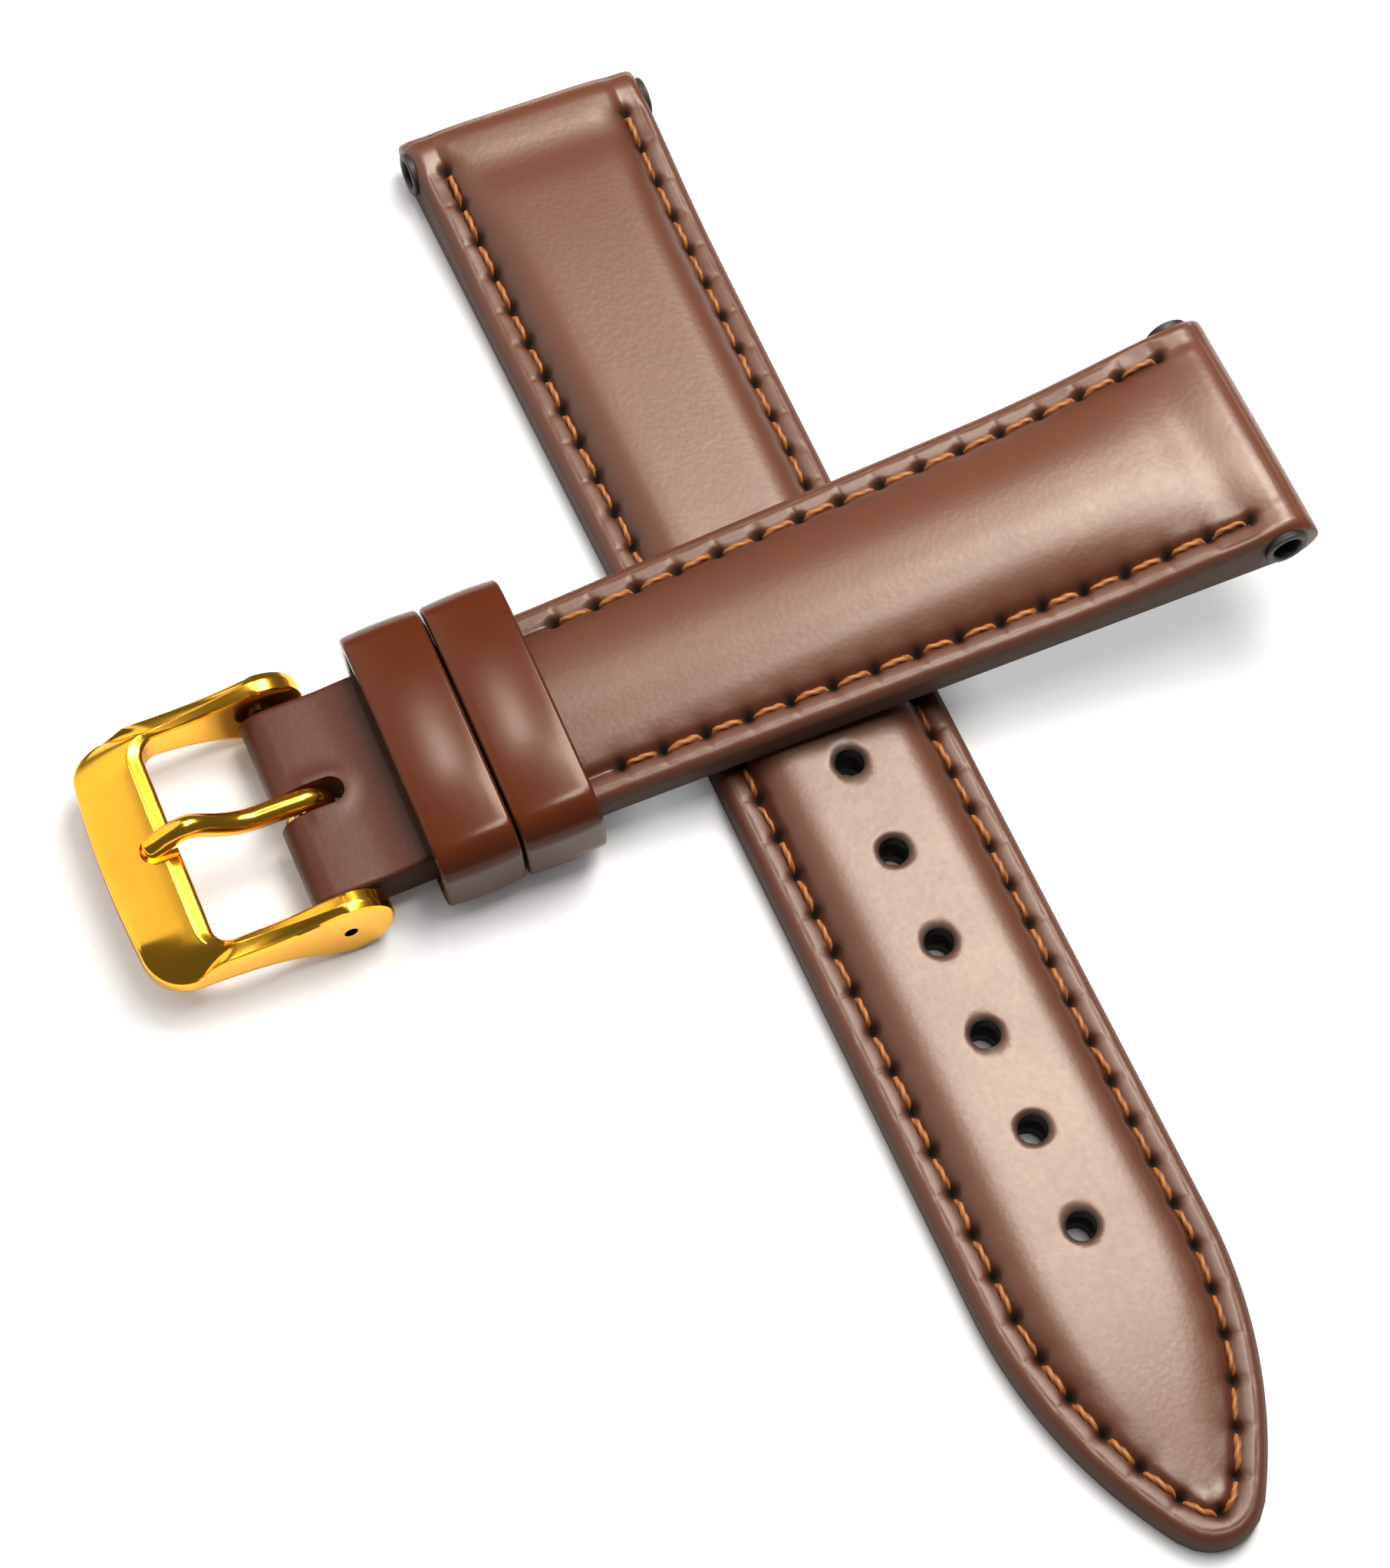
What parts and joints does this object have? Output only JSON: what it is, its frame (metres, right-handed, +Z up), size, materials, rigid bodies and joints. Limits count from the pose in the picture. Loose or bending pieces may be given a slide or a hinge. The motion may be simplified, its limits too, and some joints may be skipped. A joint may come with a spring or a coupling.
{
  "type": "watch strap",
  "caption": "Two-piece padded leather watch strap with stitched halves, a holed pointed half, a short half with keepers, and a wire-tongue buckle.",
  "frame": {"origin": "on the ground, under the middle of the box round the whole strap as its halves lie crossed", "axes": "+X along the long half from its lug end to its tip, +Z up, the short half runs along -Y from its lug end to the buckle"},
  "size_m": [0.1147, 0.0827, 0.0119],
  "materials": {
    "brown_leather": "smooth glossy calf, mid brown",
    "keeper_leather": "smooth glossy calf, chestnut",
    "lining_leather": "near-black satin lining leather",
    "thread": "waxed amber thread",
    "padding": "plain felt padding",
    "stay_tape": "thin white nylon tape",
    "polished_gold": "polished yellow gold plate",
    "steel": "plain steel"
  },
  "bodies": {
    "long_half": {"tail_upper": "brown_leather", "tail_padding": "padding", "tail_stay_tape": "stay_tape", "tail_lining": "lining_leather", "tail_bar_liner": "lining_leather", "tail_thread": "thread"},
    "short_half": {"head_upper": "brown_leather", "head_padding": "padding", "head_stay_tape": "stay_tape", "head_lining": "lining_leather", "head_bar_liner": "lining_leather", "head_thread": "thread", "buckle_loop": "brown_leather", "fixed_keeper": "keeper_leather", "fixed_keeper_thread": "thread", "spring_bar_tube": "steel", "spring_bar_spring": "steel"},
    "free_keeper": {"free_keeper": "keeper_leather", "free_keeper_thread": "thread"},
    "buckle_frame": {"buckle_frame": "polished_gold"},
    "buckle_tongue": {"buckle_tongue": "polished_gold"},
    "plunger_left": {"spring_bar_plunger_left": "steel"},
    "plunger_right": {"spring_bar_plunger_right": "steel"}
  },
  "joints": [
    {"name": "short_half_lift", "type": "slide", "parent": "long_half", "child": "short_half", "axis": [0, 0, 1], "range_m": [0, 0.03]},
    {"name": "free_keeper_slide", "type": "slide", "parent": "short_half", "child": "free_keeper", "axis": [0.0087, 0.9963, 0.0851], "range_m": [0, 0.007]},
    {"name": "buckle_swing", "type": "hinge", "parent": "short_half", "child": "buckle_frame", "pos_m": [-0.0096, -0.0278, 0.0031], "axis": [-1, 0.0087, 0], "range_deg": [-75, 25]},
    {"name": "tongue_swing", "type": "hinge", "parent": "buckle_frame", "child": "buckle_tongue", "pos_m": [-0.0096, -0.0278, 0.0031], "axis": [-1, 0.0087, 0], "range_deg": [0, 80]},
    {"name": "plunger_left_press", "type": "slide", "parent": "short_half", "child": "plunger_left", "axis": [1, -0.0087, 0], "range_m": [0, 0.001], "stiffness_N_per_m": 200, "springref_m": -0.0005, "deforming": ["spring_bar_spring"]},
    {"name": "plunger_right_press", "type": "slide", "parent": "short_half", "child": "plunger_right", "axis": [-1, 0.0087, 0], "range_m": [0, 0.001], "stiffness_N_per_m": 200, "springref_m": -0.0005, "deforming": ["spring_bar_spring"]}
  ]
}
